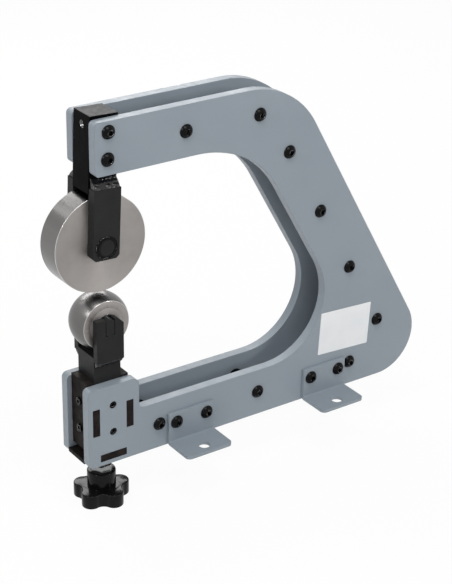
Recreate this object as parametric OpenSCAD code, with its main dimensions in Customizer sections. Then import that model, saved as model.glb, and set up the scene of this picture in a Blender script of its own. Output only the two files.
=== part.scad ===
// Bench english wheel. Two C-shaped side plates are bolted together over
// spacer bars. The upper head carries a flat wheel on ball bearings. Below it
// a crowned anvil runs in a welded cradle on a square post, and a star knob
// on a lead screw raises the post through a tenoned guide box.
// Sizes are in millimetres. The origin is the middle of the four bench bolt
// holes, in the plane of the bench top. +X points to the back of the throat,
// +Z is up, and the machine is the same on both sides of the plane Y = 0.

/* [Side plates] */
// Thickness of each side plate
plate_t = 15; // [12:0.5:18]
// Height of the side plates over all
frame_h = 539; // [530:0.5:700]
// Height of the lower beam
beam_h = 78; // [74:0.5:100]
// Height of the upper arm
arm_h = 79; // [76:0.5:100]
// Width of the leaning spine, square across it
spine_w = 102; // [90:0.5:130]
// Lean of the spine from the vertical, in degrees
spine_lean = 30; // [20:1:35]
// From the front of the plates to where the inside of the spine meets the arm
throat_x = 284.5; // [270:0.5:400]
// Set-back of the arm's nose from the front of the plates
nose_x = 19; // [10:0.5:22]
// Radius of the plates' outer corner above the spine
outer_top_r = 142; // [80:1:180]
// Radius of the plates' outer corner below the spine
outer_foot_r = 68; // [30:1:90]
// Radius of the throat's upper corner
throat_top_r = 170; // [80:1:185]
// Radius of the throat's lower corner
throat_foot_r = 103; // [60:1:120]
// Radius of the two corners of the arm's nose
nose_r = 7; // [2:0.5:12]

/* [Guide block of the side plates] */
// Height of the block over the bench
block_h = 131; // [115:0.5:133]
// Plate left in front of the guide box
front_cover = 7.8; // [5:0.2:12]
// Plate left behind the guide box
rear_cover = 10; // [6:0.2:20]
// Radius of the block's front corners
block_front_r = 8; // [2:0.5:14]
// Radius of the block's upper rear corner
block_rear_r = 12; // [2:0.5:20]
// Radius of the inside corner between block and beam
block_fillet_r = 9; // [3:0.5:15]

/* [Screws and spacer bars] */
// Diameter of the frame screws
screw_d = 12; // [8:1:14]
// Diameter of a button head
screw_head_d = 21; // [19:0.5:23]
// Height of a button head
screw_head_h = 6.6; // [5:0.2:8]
// Width across flats of a hexagon socket
socket_af = 8; // [5:0.5:9]
// Diameter of the flat on a button head
screw_top_d = 10; // [9.6:0.2:11]
// Height of a button head's upright rim
screw_rim = 0.8; // [0.4:0.1:1.5]
// Depth of the hexagon socket in a button head
socket_depth = 4; // [2:0.5:4.5]
// Thread length of a frame screw beyond the plate
screw_bite = 14; // [8:1:18]
// Depth of a tapped hole beyond the end of its screw
screw_spare = 3; // [1:0.5:4]
// Diameter of the spacer bars
spacer_d = 25; // [22:1:36]
// Distance of the spine's screws from the throat edge
screw_inset = 43; // [30:0.2:50]
// From the front of the plates to the arm's first screw
arm_screw_x = 167.8; // [120:0.2:180]
// Distance between the arm's screws
arm_screw_pitch = 127.6; // [100:0.2:135]
// From the front of the plates to the beam's first screw
beam_screw_x = 122.8; // [118:0.2:123]
// Height of the beam's screws over the bench
beam_screw_z = 40.3; // [36:0.1:48]
// Distance between the beam's screws
beam_screw_pitch = 182; // [180:0.5:190]
// Height along the spine of its lowest screw
spine_screw_rise = 73.4; // [60:0.2:100]
// Distance between the spine's screws
spine_screw_pitch = 126.3; // [100:0.1:130]

/* [Upper head] */
// Lean of the head about its bolts, in degrees
head_lean = 2.4; // [0:0.1:4]
// Depth of the head bar, along X
bar_w = 45; // [40:0.5:48]
// Width of the head bar, along Y
bar_d = 43; // [42.5:0.5:45]
// How far the head bar stands above the arm
bar_rise = 4; // [1:0.5:10]
// Diameter of the tapped hole in the bar's front
bar_hole_d = 12; // [6:0.5:12]
// Height of that hole over the middle of the head bolts
bar_hole_z = 23; // [18:0.5:30]
// Depth of that hole
bar_hole_l = 10; // [4:1:20]
// From the top of the arm down to the middle of the head bolts
head_drop = 35.7; // [34:0.1:42]
// Distance between the two head bolts
head_bolt_pitch = 39.6; // [34:0.2:46]
// How far the head bolts sit in front of the bar's middle
head_bolt_set = 2.4; // [0:0.2:6]
// Diameter of the shims between bar and plates
shim_d = 30; // [20:1:34]
// From the middle of the head bolts down to the wheel's axle
wheel_drop = 151.9; // [150:0.1:170]
// Thickness of the fork ears
ear_t = 15; // [10:0.5:20]
// Width of the fork ears, along X
ear_w = 43.5; // [40:0.5:48]
// Length of a fork ear below the axle
ear_tail = 18.5; // [18:0.5:26]
// Cut across the lower corners of the fork ears
ear_chamfer = 5; // [1:0.5:8]
// Overlap of the fork ears on the bar
ear_lap = 9; // [9:0.5:20]
// Leg of the weld over each fork ear
head_weld = 14.5; // [6:0.5:15]
// Distance of a weld's ends from the edges it joins
weld_end = 1; // [0:0.5:3]
// How far the middle of a weld stands out, as a share of its leg
weld_bulge = 0.56; // [0.5:0.01:0.7]

/* [Wheels] */
// Diameter of the upper wheel
wheel_d = 147.5; // [130:0.5:160]
// Width of the upper wheel
wheel_w = 42; // [41:0.5:42.5]
// Cut round the edges of the upper wheel
wheel_edge = 0.8; // [0.2:0.1:2]
// Space between the upper wheel and the head bar
wheel_crown_gap = 5; // [3:0.5:10]
// Diameter of the anvil, which is turned as a ball between two flat sides
anvil_d = 87.6; // [82:0.2:96]
// Width of the lower anvil
anvil_w = 44.4; // [44:0.2:44.6]
// Height of the opening between wheel and anvil
wheel_gap = 11.5; // [6:0.1:15]

/* [Axles and bearings] */
// Diameter of both axles, and bore of the bearings
axle_d = 25; // [22:0.5:28]
// Outer diameter of the bearings
bearing_d = 52; // [48:0.5:56]
// Width of the bearings
bearing_w = 15; // [12:0.5:15.5]
// Diameter of a bearing ball
ball_d = 7.9; // [6:0.1:9]
// Number of balls in a bearing
ball_count = 9; // [6:1:10]
// Thickness of the wall of a bearing ring at its edge
ring_wall = 4.2; // [3:0.1:5]
// Thickness of the covers that keep the bearings in their wheels
keeper_t = 3; // [2:0.1:3.5]
// Step in radius from a bearing out to its cover
keeper_step = 1; // [0.5:0.1:2]
// Gap between a cover and the ring that turns inside it
keeper_clear = 0.3; // [0.2:0.1:1]
// Thickness of an axle clip
clip_t = 1.2; // [1:0.1:2]
// Outer diameter of an axle clip
clip_d = 33; // [32:0.5:33.5]
// Radius of an axle clip's two lugs
clip_lug_r = 2.2; // [2:0.1:2.3]
// Angle of each lug from the middle of the clip's opening, in degrees
clip_lug_turn = 14; // [13:1:20]
// Opening of an axle clip
clip_gap = 2; // [1:0.5:3]
// Depth of the groove that holds an axle clip
clip_groove = 0.5; // [0.3:0.1:1]
// Diameter of the recess in an ear round its clip
clip_sink_d = 35.8; // [35.6:0.1:36.2]
// Depth of that recess
clip_sink = 1.5; // [1:0.1:3]
// Axle left beyond its clip
axle_end = 2.5; // [2:0.5:5]
// Step cut round the ends of the wheel axle
axle_step = 1.5; // [0.5:0.5:1.5]

/* [Cradle and post] */
// Width of the square post
post_w = 45; // [44.5:0.1:46]
// Gap between the guide floor and the foot of the post
post_rest = 18.3; // [16:0.1:24]
// Thickness of the cradle ears
cradle_t = 10.5; // [8:0.5:16]
// Height of the cradle ears over the anvil's axle
cradle_rise = 13.3; // [13:0.1:20]
// Overlap of the cradle ears on the post
cradle_lap = 6.4; // [6:0.2:14]
// Cut across the upper rear corner of a cradle ear
cradle_chamfer = 9.8; // [2:0.2:12]
// Space between the anvil and the post
anvil_foot_gap = 4.3; // [2:0.1:5]
// Leg of the weld under each cradle ear
cradle_weld = 11; // [6:0.5:12]
// Width across the flats of the anvil axle's ends
axle_flat = 13.6; // [10:0.2:18]
// Gap between those flats and the side of their slot
slot_gap = 0.9; // [0.5:0.1:1.5]

/* [Guide box] */
// Thickness of the guide walls
wall_t = 12; // [10:0.5:14]
// Top of the guide walls over the bench
wall_top = 134.5; // [128:0.5:140]
// Middle height of tenons and adjusting screws
guide_mid = 75; // [70:0.5:80]
// Length of a tenon
tenon_l = 45; // [36:0.5:50]
// Thickness of the guide floor
floor_t = 12; // [10:0.5:13]
// Underside of the guide floor over the bench
floor_z = 6.5; // [5:0.5:9]
// How far the ends of the guide floor stand back under the walls
floor_set = 9; // [0:0.5:10]
// Underside of the strip that closes the foot of the box
toe_z = 2.4; // [0:0.1:5]
// Height of that strip
toe_h = 6.5; // [4:0.5:10]
// Diameter of the adjusting screws
grub_d = 12; // [8:1:14]
// Distance between the adjusting screws of a side
grub_pitch = 45; // [40:0.5:46]
// How deep the side adjusting screws sit in their holes
grub_sink = 1.5; // [0.5:0.5:4]
// How far the front adjusting screws stand out of their wall
grub_stand = 3; // [0:0.5:6]
// Depth of the hexagon socket in an adjusting screw
grub_socket = 5; // [3:0.5:6]

/* [Lead screw and knob] */
// Diameter of the lead screw
spindle_d = 20; // [16:0.5:22]
// Diameter of the lead screw's thrust head
thrust_d = 30; // [26:0.5:34]
// Thickness of the thrust head
thrust_h = 8; // [5:0.5:12]
// Depth of the thrust head inside the post
thrust_depth = 12; // [10:0.5:16]
// Diameter of the lead nut's flange
nut_flange_d = 42; // [36:0.5:48]
// Diameter of the lead nut's body
nut_body_d = 30; // [26:0.5:34]
// From the foot of the post down to the hub of the knob
hub_drop = 66.8; // [60:0.2:76]
// Width across flats of the jam nut
jam_af = 30; // [26:0.5:36]
// Height of the jam nut
jam_h = 10; // [6:0.5:12]
// Diameter of the knob's hub
hub_d = 44; // [38:0.5:50]
// Height of the knob's hub
hub_h = 27.2; // [15:0.1:30]
// Depth of the recess under the knob
knob_recess = 7; // [6.5:0.5:9]
// Thickness of the knob's web over that recess
knob_web = 3; // [2:0.5:5]
// Diameter of the washer under the knob
washer_d = 24; // [20:1:27]
// Thickness of that washer
washer_t = 2; // [1:0.5:2.5]
// Space between the washer and the side of the recess
washer_gap = 2; // [1:0.5:3]
// Diameter of the knob's screw
knob_screw_d = 6; // [5:0.5:8]
// Length of the knob's screw under its head
knob_screw_l = 16; // [12:1:20]
// Diameter of that screw's head
knob_screw_head_d = 12; // [10:0.5:14]
// Height of that screw's head
knob_screw_head_h = 4; // [3:0.5:4.5]
// Height of the knob's lobes
knob_h = 22.6; // [18:0.2:30]
// Diameter of the knob over its lobes
knob_d = 87.4; // [80:0.2:110]
// Radius of a knob lobe
lobe_r = 14.8; // [10:0.2:16]
// Radius of the hollow between two lobes
hollow_r = 13; // [11:0.5:30]
// Number of lobes
lobe_count = 5; // [4:1:6]
// Direction of the first lobe, in degrees
lobe_turn = 62.8; // [0:0.2:72]

/* [Feet] */
// Thickness of the foot brackets
foot_t = 5; // [4:0.5:8]
// Width of a foot bracket, along X
foot_w = 82; // [76:1:86]
// Height of a bracket's leg
foot_h = 53; // [50:0.5:70]
// Reach of a bracket from the side plate
foot_reach = 57.6; // [50:0.2:80]
// Radius of a bracket's outer corners
foot_r = 8; // [2:0.5:16]
// Outer radius of a bracket's bend
bend_r = 6; // [5.5:0.5:8]
// From the front of the plates to the middle of the first foot
foot_x = 178.3; // [175:0.1:184]
// Distance between the feet
foot_pitch = 255; // [250:1:257]
// Diameter of a bench bolt hole
foot_hole_d = 18; // [12:0.5:22]
// From the side plate to the middle of a bench bolt hole
foot_hole_y = 39.6; // [28:0.2:42]
// Distance between the screws of a foot
foot_screw_pitch = 54.4; // [46:0.2:60]
// Height of the screws of a foot over the bench
foot_screw_z = 37.2; // [30:0.1:41]

/* [Clearances] */
// Space round a part that is fitted and stays put
snug = 0.02; // [0.01:0.01:0.1]
// Radial space round a part that turns or screws
running = 0.05; // [0.02:0.01:0.1]
// Space round a screw in a plain hole
screw_slip = 0.5; // [0.2:0.1:1]
// Space between the post and what guides it
guide_clear = 0.3; // [0.2:0.05:0.5]

/* [Hidden] */

// Colours
paint_grey = "#8a939b";
satin_black = "#2e2e30";
gloss_black = "#161618";
turned_steel = "#a8a5a0";
bearing_steel = "#c8cacc";
oiled_black = "#241f1e";
bronze = "#b08a4a";

// Steps of the round shapes, and the reach of a cut past the face it opens
$fn = 72;
corner_steps = 120;
crown_steps = 96;
ball_steps = 24;
past = 1;

// Places along the frame
front_x = -(foot_x + foot_pitch / 2);
plate_in = post_w / 2 + guide_clear;
plate_out = plate_in + plate_t;
box_l = 2 * wall_t + 2 * guide_clear + post_w;
block_l = front_cover + box_l + rear_cover;
axis_x = front_x + front_cover + box_l / 2;
arm_z = frame_h - arm_h;
bolt_z = frame_h - head_drop;

// The spine's edges, each as its distance from the plates' lower front corner
spine_n = [cos(spine_lean), sin(spine_lean)];
spine_u = [-sin(spine_lean), cos(spine_lean)];
inner_d = throat_x * spine_n[0] + arm_z * spine_n[1];
outer_d = inner_d + spine_w;
function edge_x(d, z) = (d - z * spine_n[1]) / spine_n[0];

// Screw places in the side plates, from their lower front corner
spine_line = inner_d + screw_inset;
spine_foot = (beam_h / 2 - spine_line * spine_n[1]) / spine_u[1];
arm_screws = [for (i = [0:1]) [arm_screw_x + i * arm_screw_pitch, frame_h - arm_h / 2]];
spine_screws = [for (i = [0:3])
    spine_line * spine_n + (spine_foot + spine_screw_rise + i * spine_screw_pitch) * spine_u];
beam_screws = [for (i = [0:2]) [beam_screw_x + i * beam_screw_pitch, beam_screw_z]];
spacer_places = concat(arm_screws, spine_screws, beam_screws);
foot_places = [foot_x, foot_x + foot_pitch];
foot_screws = [for (x = foot_places, s = [-1, 1]) [x + s * foot_screw_pitch / 2, foot_screw_z]];

// The head, upright about the middle of its bolts before it leans
head_bolts = [for (s = [-1, 1]) [-head_bolt_set, s * head_bolt_pitch / 2]];
bar_top = head_drop + bar_rise;
bar_foot = -wheel_drop + wheel_d / 2 + wheel_crown_gap;
shim_t = plate_in - bar_d / 2;
fork_in = bar_d / 2;
fork_out = fork_in + ear_t;
clip_seat = fork_out - clip_sink;
wheel_z = bolt_z - wheel_drop * cos(head_lean);
function leaned(p) = [
    p[0] * cos(head_lean) + p[1] * sin(head_lean),
    p[1] * cos(head_lean) - p[0] * sin(head_lean)
];
head_screws = [for (p = head_bolts) [axis_x - front_x, bolt_z] + leaned(p)];

// The anvil, its cradle and the post
anvil_z = wheel_z - wheel_d / 2 - anvil_d / 2 - wheel_gap;
post_top = anvil_z - anvil_d / 2 - anvil_foot_gap;
floor_top = floor_z + floor_t;
post_foot = floor_top + post_rest;
cradle_in = post_w / 2;
cradle_out = cradle_in + cradle_t;
cradle_foot = post_top - cradle_lap;
slot_foot = anvil_z - axle_d / 2 - snug;

// Bearings, by the distance of their inner face from the middle of the wheel
wheel_seat = wheel_w / 2 - keeper_t - bearing_w;
anvil_seat = anvil_w / 2 - keeper_t - bearing_w;
pitch_r = (axle_d + bearing_d) / 4;
inner_ring_r = axle_d / 2 + ring_wall;
outer_ring_r = bearing_d / 2 - ring_wall;
shoulder_r = outer_ring_r + ring_wall / 2;

// The lead screw and its knob
thrust_top = post_foot + thrust_depth + thrust_h;
hub_top = post_foot - hub_drop;
lobe_top = hub_top - hub_h;
knob_foot = lobe_top - knob_h;
lobe_centre = knob_d / 2 - lobe_r;
half_step = 180 / lobe_count;
lobe_bite = 0.1; // The hollows cut this far into the lobes, so that no two arcs only touch
lobe_to_hollow = lobe_r + hollow_r - lobe_bite;
hollow_centre = lobe_centre * cos(half_step)
    + sqrt(pow(lobe_to_hollow, 2) - pow(lobe_centre * sin(half_step), 2));
screw_foot = knob_foot + knob_recess + knob_web;

// The dome of a button head, by the height of its middle over the head's seat
dome_z = (screw_top_d * screw_top_d / 4 - screw_head_d * screw_head_d / 4
    + screw_head_h * screw_head_h - screw_rim * screw_rim) / (2 * (screw_head_h - screw_rim));
dome_r = norm([screw_head_d / 2, screw_rim - dome_z]);

// Helpers

// A convex outline whose corner i is rounded to radius r[i]
module rounded_outline(p, r) {
    n = len(p);
    difference() {
        polygon(p);
        for (i = [0:n - 1]) if (r[i] > 0) {
            to_last = (p[(i + n - 1) % n] - p[i]) / norm(p[(i + n - 1) % n] - p[i]);
            to_next = (p[(i + 1) % n] - p[i]) / norm(p[(i + 1) % n] - p[i]);
            half = acos(to_last * to_next) / 2;
            inward = (to_last + to_next) / norm(to_last + to_next);
            difference() {
                polygon([p[i] - inward * past, p[i] + to_last * r[i] / tan(half),
                         p[i] + to_next * r[i] / tan(half)]);
                translate(p[i] + inward * r[i] / sin(half)) circle(r[i], $fn = corner_steps);
            }
        }
    }
}

// A shape drawn in X and Z, given thickness along Y from y0 to y1
module along_y(y0, y1) {
    translate([0, y1, 0]) rotate([90, 0, 0]) linear_extrude(y1 - y0) children();
}

// A rod along Y from y0 to y1
module rod_y(r, y0, y1) {
    translate([0, y1, 0]) rotate([90, 0, 0]) cylinder(r = r, h = y1 - y0);
}

// A tube along Y from y0 to y1
module tube_y(r_out, r_in, y0, y1) {
    difference() {
        rod_y(r_out, y0, y1);
        rod_y(r_in, y0 - past, y1 + past);
    }
}

// The far copy of something drawn on the near side
module far() {
    mirror([0, 1, 0]) children();
}

module both_sides() {
    children();
    far() children();
}

// Places measured from the lower front corner of the plates
module from_front() {
    translate([front_x, 0, 0]) children();
}

// The head's own place, leaning about the middle of its bolts
module in_head() {
    translate([axis_x, 0, bolt_z]) rotate([0, head_lean, 0]) children();
}

module at_wheel() {
    in_head() translate([0, 0, -wheel_drop]) children();
}

module at_anvil() {
    translate([axis_x, 0, anvil_z]) children();
}

module hex_socket(af, depth) {
    rotate([90, 0, 0]) cylinder(r = af / sqrt(3), h = depth, $fn = 6);
}

// A button-head screw along +Y with the underside of its head at the origin
module button_screw(shank) {
    difference() {
        union() {
            rod_y(screw_d / 2, -screw_rim, shank);
            intersection() {
                rod_y(screw_head_d / 2, -screw_head_h, 0);
                translate([0, -dome_z, 0]) rotate([90, 0, 0]) rotate_extrude() intersection() {
                    circle(dome_r);
                    square(2 * dome_r);
                }
            }
        }
        translate([0, socket_depth - screw_head_h, 0]) hex_socket(socket_af, socket_depth + past);
    }
}

// A socket set screw along Y from y0 to y1, its socket at y0
module set_screw(d, y0, y1) {
    difference() {
        rod_y(d / 2, y0, y1);
        translate([0, y0 + grub_socket, 0]) hex_socket(d / 2, grub_socket + past);
    }
}

// Side plates

module plate_outline() {
    mid = block_l + block_fillet_r;
    difference() {
        union() {
            rounded_outline(
                [[mid, 0], [edge_x(outer_d, 0), 0], [edge_x(outer_d, frame_h), frame_h], [mid, frame_h]],
                [0, outer_foot_r, outer_top_r, 0]);
            rounded_outline(
                [[nose_x, arm_z], [mid, arm_z], [mid, frame_h], [nose_x, frame_h]],
                [nose_r, 0, 0, nose_r]);
        }
        rounded_outline(
            [[-past, beam_h], [edge_x(inner_d, beam_h), beam_h], [throat_x, arm_z], [-past, arm_z]],
            [0, throat_foot_r, throat_top_r, 0]);
    }
    rounded_outline([[0, 0], [mid, 0], [mid, beam_h], [0, beam_h]], [block_front_r, 0, 0, 0]);
    rounded_outline(
        [[0, beam_h / 2], [block_l, beam_h / 2], [block_l, block_h], [0, block_h]],
        [0, 0, block_rear_r, block_front_r]);
    difference() {
        translate([block_l, beam_h]) square(block_fillet_r);
        translate([block_l, beam_h] + block_fillet_r * [1, 1]) circle(block_fillet_r);
    }
}

module tenon_slots() {
    box_x = front_cover + wall_t / 2;
    for (x = [box_x, box_x + box_l - wall_t])
        translate([x, guide_mid]) square([wall_t, tenon_l] + 2 * snug * [1, 1], center = true);
    translate([axis_x - front_x, floor_z + floor_t / 2])
        square([tenon_l, floor_t] + 2 * snug * [1, 1], center = true);
}

module side_plate() {
    color(paint_grey) from_front() along_y(-plate_out, -plate_in) difference() {
        plate_outline();
        tenon_slots();
        for (p = concat(spacer_places, head_screws)) translate(p) circle(screw_d / 2 + screw_slip);
        for (p = foot_screws) translate(p) circle(screw_d / 2 + running);
        for (s = [-1, 1]) translate([axis_x - front_x, guide_mid + s * grub_pitch / 2])
            circle(grub_d / 2 + running);
    }
}

module side_plate_near() {
    side_plate();
}

module side_plate_far() {
    far() side_plate();
}

module spacer_bars() {
    color(gloss_black) from_front() for (p = spacer_places) translate([p[0], 0, p[1]]) difference() {
        rod_y(spacer_d / 2, -plate_in, plate_in);
        both_sides() rod_y(screw_d / 2 + running, -plate_in - past, -plate_in + screw_bite + screw_spare);
    }
}

module frame_screws_near() {
    color(gloss_black) from_front() for (p = concat(spacer_places, head_screws))
        translate([p[0], -plate_out, p[1]]) button_screw(plate_t + screw_bite);
}

module frame_screws_far() {
    far() frame_screws_near();
}

// Feet

// The space inside a bend: a rectangle from its corner, which is set in and rounded
module bent_corner(inset, r, reach, height) {
    rounded_outline([[-reach, inset], [-inset, inset], [-inset, height], [-reach, height]], [0, r, 0, 0]);
}

module foot_bracket(x) {
    color(paint_grey) translate([front_x + x, 0, 0]) difference() {
        intersection() {
            translate([-foot_w / 2, -plate_out, 0]) rotate([90, 0, 90]) linear_extrude(foot_w) difference() {
                bent_corner(0, bend_r, foot_reach, foot_h);
                bent_corner(foot_t, bend_r - foot_t, foot_reach + past, foot_h + past);
            }
            linear_extrude(foot_h) rounded_outline(
                [[-foot_w / 2, -plate_out - foot_reach], [foot_w / 2, -plate_out - foot_reach],
                 [foot_w / 2, -plate_out], [-foot_w / 2, -plate_out]],
                [foot_r, foot_r, 0, 0]);
        }
        translate([0, -plate_out - foot_hole_y, -past]) cylinder(d = foot_hole_d, h = foot_t + 2 * past);
        for (s = [-1, 1]) translate([s * foot_screw_pitch / 2, 0, foot_screw_z])
            rod_y(screw_d / 2 + screw_slip, -plate_out - foot_t - past, -plate_out + past);
    }
}

module foot_front_near() {
    foot_bracket(foot_places[0]);
}

module foot_rear_near() {
    foot_bracket(foot_places[1]);
}

module foot_front_far() {
    far() foot_bracket(foot_places[0]);
}

module foot_rear_far() {
    far() foot_bracket(foot_places[1]);
}

module foot_screws_near() {
    color(gloss_black) from_front() for (p = foot_screws)
        translate([p[0], -plate_out - foot_t, p[1]]) button_screw(foot_t + plate_t);
}

module foot_screws_far() {
    far() foot_screws_near();
}

// Upper head

module head_bar() {
    color(gloss_black) in_head() difference() {
        translate([-bar_w / 2, -bar_d / 2, bar_foot]) cube([bar_w, bar_d, bar_top - bar_foot]);
        for (p = head_bolts) translate([p[0], 0, p[1]])
            both_sides() rod_y(screw_d / 2 + running, -bar_d / 2 - past, -plate_in + screw_bite + screw_spare);
        translate([0, 0, bar_hole_z]) rotate([0, 0, -90])
            rod_y(bar_hole_d / 2, -bar_w / 2 - past, bar_hole_l - bar_w / 2);
    }
}

module head_shims() {
    color(satin_black) in_head() for (p = head_bolts) translate([p[0], 0, p[1]])
        both_sides() tube_y(shim_d / 2, screw_d / 2 + screw_slip, -plate_in, -plate_in + shim_t);
}

module fork_ear() {
    top = bar_foot + ear_lap;
    foot = -wheel_drop - ear_tail;
    color(satin_black) in_head() difference() {
        along_y(-fork_out, -fork_in) polygon([
            [-ear_w / 2, top], [-ear_w / 2, foot + ear_chamfer], [-ear_w / 2 + ear_chamfer, foot],
            [ear_w / 2 - ear_chamfer, foot], [ear_w / 2, foot + ear_chamfer], [ear_w / 2, top]]);
        translate([0, 0, -wheel_drop]) {
            rod_y(axle_d / 2 + snug, -fork_out - past, past - fork_in);
            rod_y(clip_sink_d / 2, -fork_out - past, -clip_seat);
        }
    }
}

module fork_ear_near() {
    fork_ear();
}

module fork_ear_far() {
    far() fork_ear();
}

// A fillet weld along X: a leg up the face at y and a leg out along the ledge at z
module weld_fillet(l, leg, y, z, up) {
    translate([-l / 2, y, z]) rotate([90, 0, 90]) linear_extrude(l)
        polygon([[0, 0], [-leg, 0], [-leg * weld_bulge, up * leg * weld_bulge], [0, up * leg]]);
}

module head_welds() {
    weld_l = min(bar_w, ear_w) - 2 * weld_end;
    color(gloss_black) in_head() both_sides()
        weld_fillet(weld_l, head_weld, -fork_in, bar_foot + ear_lap, 1);
}

module wheel_axle() {
    l = clip_seat + clip_t + 2 * snug + axle_end;
    color(satin_black) at_wheel() difference() {
        union() {
            rod_y(axle_d / 2, axle_step - l, l - axle_step);
            rod_y(axle_d / 2 - axle_step, -l, l);
        }
        both_sides() tube_y(axle_d, axle_d / 2 - clip_groove, -clip_seat - clip_t - 2 * snug, -clip_seat);
    }
}

module axle_clip() {
    y0 = -clip_seat - snug - clip_t;
    y1 = y0 + clip_t;
    lug_at = clip_d / 2 - clip_lug_r / 2;
    difference() {
        union() {
            rod_y(clip_d / 2, y0, y1);
            for (s = [-1, 1]) rotate([0, s * clip_lug_turn, 0]) translate([0, 0, -lug_at])
                rod_y(clip_lug_r, y0, y1);
        }
        rod_y(axle_d / 2 - clip_groove + snug, y0 - past, y1 + past);
        translate([-clip_gap / 2, y0 - past, -clip_d]) cube([clip_gap, clip_t + 2 * past, clip_d]);
        for (s = [-1, 1]) rotate([0, s * clip_lug_turn, 0]) translate([0, 0, -lug_at])
            rod_y(clip_lug_r / 2, y0 - past, y1 + past);
    }
}

module axle_clips() {
    color(satin_black) at_wheel() both_sides() axle_clip();
}

// Rings on an axle: one between the bearings and one out to each ear
module axle_rings(seat, ear) {
    tube_y(inner_ring_r, axle_d / 2 + snug, -seat, seat);
    both_sides() tube_y(inner_ring_r, axle_d / 2 + snug, -ear, -seat - bearing_w);
}

module wheel_spacers() {
    color(bearing_steel) at_wheel() axle_rings(wheel_seat, fork_in);
}

// Ball bearings

// The raceway that both rings and the balls share
module raceway(seat) {
    translate([0, -seat - bearing_w / 2, 0]) rotate([90, 0, 0]) rotate_extrude()
        translate([pitch_r, 0]) circle(ball_d / 2 + running);
}

module bearing_inners(seat) {
    both_sides() difference() {
        tube_y(inner_ring_r, axle_d / 2 + snug, -seat - bearing_w, -seat);
        raceway(seat);
    }
}

module bearing_outers(seat) {
    both_sides() difference() {
        tube_y(bearing_d / 2, outer_ring_r, -seat - bearing_w, -seat);
        raceway(seat);
    }
}

module bearing_balls(seat) {
    both_sides() for (i = [0:ball_count - 1]) rotate([0, i * 360 / ball_count, 0])
        translate([pitch_r, -seat - bearing_w / 2, 0]) sphere(d = ball_d, $fn = ball_steps);
}

// The bore of a wheel: two bearing seats with a shoulder between them, and the steps for the covers
module bearing_bore(seat, half_w) {
    rod_y(shoulder_r, -seat - past, seat + past);
    both_sides() {
        rod_y(bearing_d / 2 + snug, -half_w - past, -seat);
        rod_y(bearing_d / 2 + keeper_step, -half_w - past, -seat - bearing_w);
    }
}

// Covers pressed in flush with the side of the wheel, which keep its bearings in
module keepers(seat) {
    both_sides() tube_y(bearing_d / 2 + keeper_step - running, inner_ring_r + keeper_clear,
                        -seat - bearing_w - keeper_t, -seat - bearing_w - snug);
}

module wheel_bearing_inners() {
    color(bearing_steel) at_wheel() bearing_inners(wheel_seat);
}

module wheel_bearing_outers() {
    color(bearing_steel) at_wheel() bearing_outers(wheel_seat);
}

module wheel_bearing_balls() {
    color(bearing_steel) at_wheel() bearing_balls(wheel_seat);
}

module wheel_keepers() {
    color(turned_steel) at_wheel() keepers(wheel_seat);
}

module upper_wheel() {
    color(turned_steel) at_wheel() difference() {
        union() {
            rod_y(wheel_d / 2, wheel_edge - wheel_w / 2, wheel_w / 2 - wheel_edge);
            rod_y(wheel_d / 2 - wheel_edge, -wheel_w / 2, wheel_w / 2);
        }
        bearing_bore(wheel_seat, wheel_w / 2);
    }
}

// Guide box

module guide_wall(x) {
    color(oiled_black) translate([x, 0, 0]) {
        translate([0, -plate_in, floor_top]) cube([wall_t, 2 * plate_in, wall_top - floor_top]);
        translate([0, -plate_out, guide_mid - tenon_l / 2]) cube([wall_t, 2 * plate_out, tenon_l]);
    }
}

module guide_wall_front() {
    difference() {
        guide_wall(axis_x - plate_in - wall_t);
        for (s = [-1, 1]) color(oiled_black) translate([axis_x, 0, guide_mid + s * grub_pitch / 2])
            rotate([0, 0, -90]) rod_y(grub_d / 2 + running, -plate_in - wall_t - past, 0);
    }
}

module guide_wall_rear() {
    guide_wall(axis_x + plate_in);
}

module guide_floor() {
    color(oiled_black) difference() {
        union() {
            translate([axis_x - box_l / 2 + floor_set, -plate_in, floor_z])
                cube([box_l - 2 * floor_set, 2 * plate_in, floor_t]);
            translate([axis_x - tenon_l / 2, -plate_out, floor_z]) cube([tenon_l, 2 * plate_out, floor_t]);
        }
        translate([axis_x, 0, floor_z - past])
            cylinder(d = nut_body_d + 2 * snug, h = floor_t + 2 * past);
    }
}

module toe_strip() {
    color(satin_black) translate([front_x, -plate_in, toe_z])
        cube([front_cover + floor_set - snug, 2 * plate_in, toe_h]);
}

module side_adjusters_near() {
    color(satin_black) for (s = [-1, 1]) translate([axis_x, 0, guide_mid + s * grub_pitch / 2])
        set_screw(grub_d, grub_sink - plate_out, -plate_in);
}

module side_adjusters_far() {
    far() side_adjusters_near();
}

module front_adjusters() {
    color(satin_black) for (s = [-1, 1]) translate([axis_x, 0, guide_mid + s * grub_pitch / 2])
        rotate([0, 0, -90]) set_screw(grub_d, -plate_in - wall_t - grub_stand, -plate_in);
}

module lead_nut() {
    color(bronze) translate([axis_x, 0, 0]) difference() {
        union() {
            cylinder(d = nut_flange_d, h = floor_z);
            cylinder(d = nut_body_d, h = floor_top);
        }
        translate([0, 0, -past]) cylinder(d = spindle_d + 2 * running, h = floor_top + 2 * past);
    }
}

// Post and cradle

module post() {
    color(satin_black) translate([axis_x, 0, 0]) difference() {
        translate([-post_w / 2, -post_w / 2, post_foot]) cube([post_w, post_w, post_top - post_foot]);
        translate([0, 0, post_foot - past])
            cylinder(d = thrust_d + 2 * running, h = thrust_depth + thrust_h + 2 * running + past);
    }
}

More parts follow.
